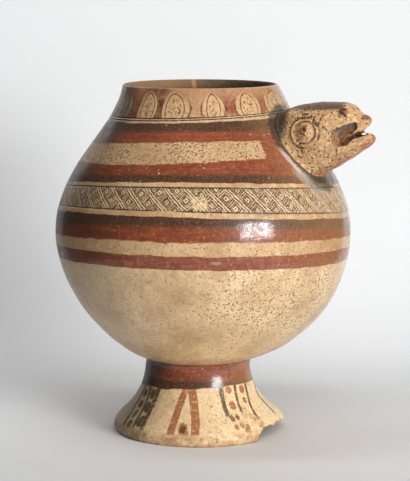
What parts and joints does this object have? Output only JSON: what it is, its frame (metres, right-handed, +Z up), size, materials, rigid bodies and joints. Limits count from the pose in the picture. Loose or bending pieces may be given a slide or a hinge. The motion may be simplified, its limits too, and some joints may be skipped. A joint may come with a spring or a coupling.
{
  "type": "footed vase",
  "caption": "Round-bodied footed pottery vase with banded slip painting and a modelled animal head on its shoulder.",
  "frame": {"origin": "middle of the vase's box, on the surface that the foot stands on", "axes": "+Z up along the vase, -Y the painted front, the head leaning out toward +X and a little to the front"},
  "size_m": [0.237, 0.224, 0.2676],
  "materials": {
    "slip_painted_earthenware": "burnished slip with painted bands, worn and speckled"
  },
  "bodies": {
    "root": {"vase": "slip_painted_earthenware"}
  },
  "joints": []
}
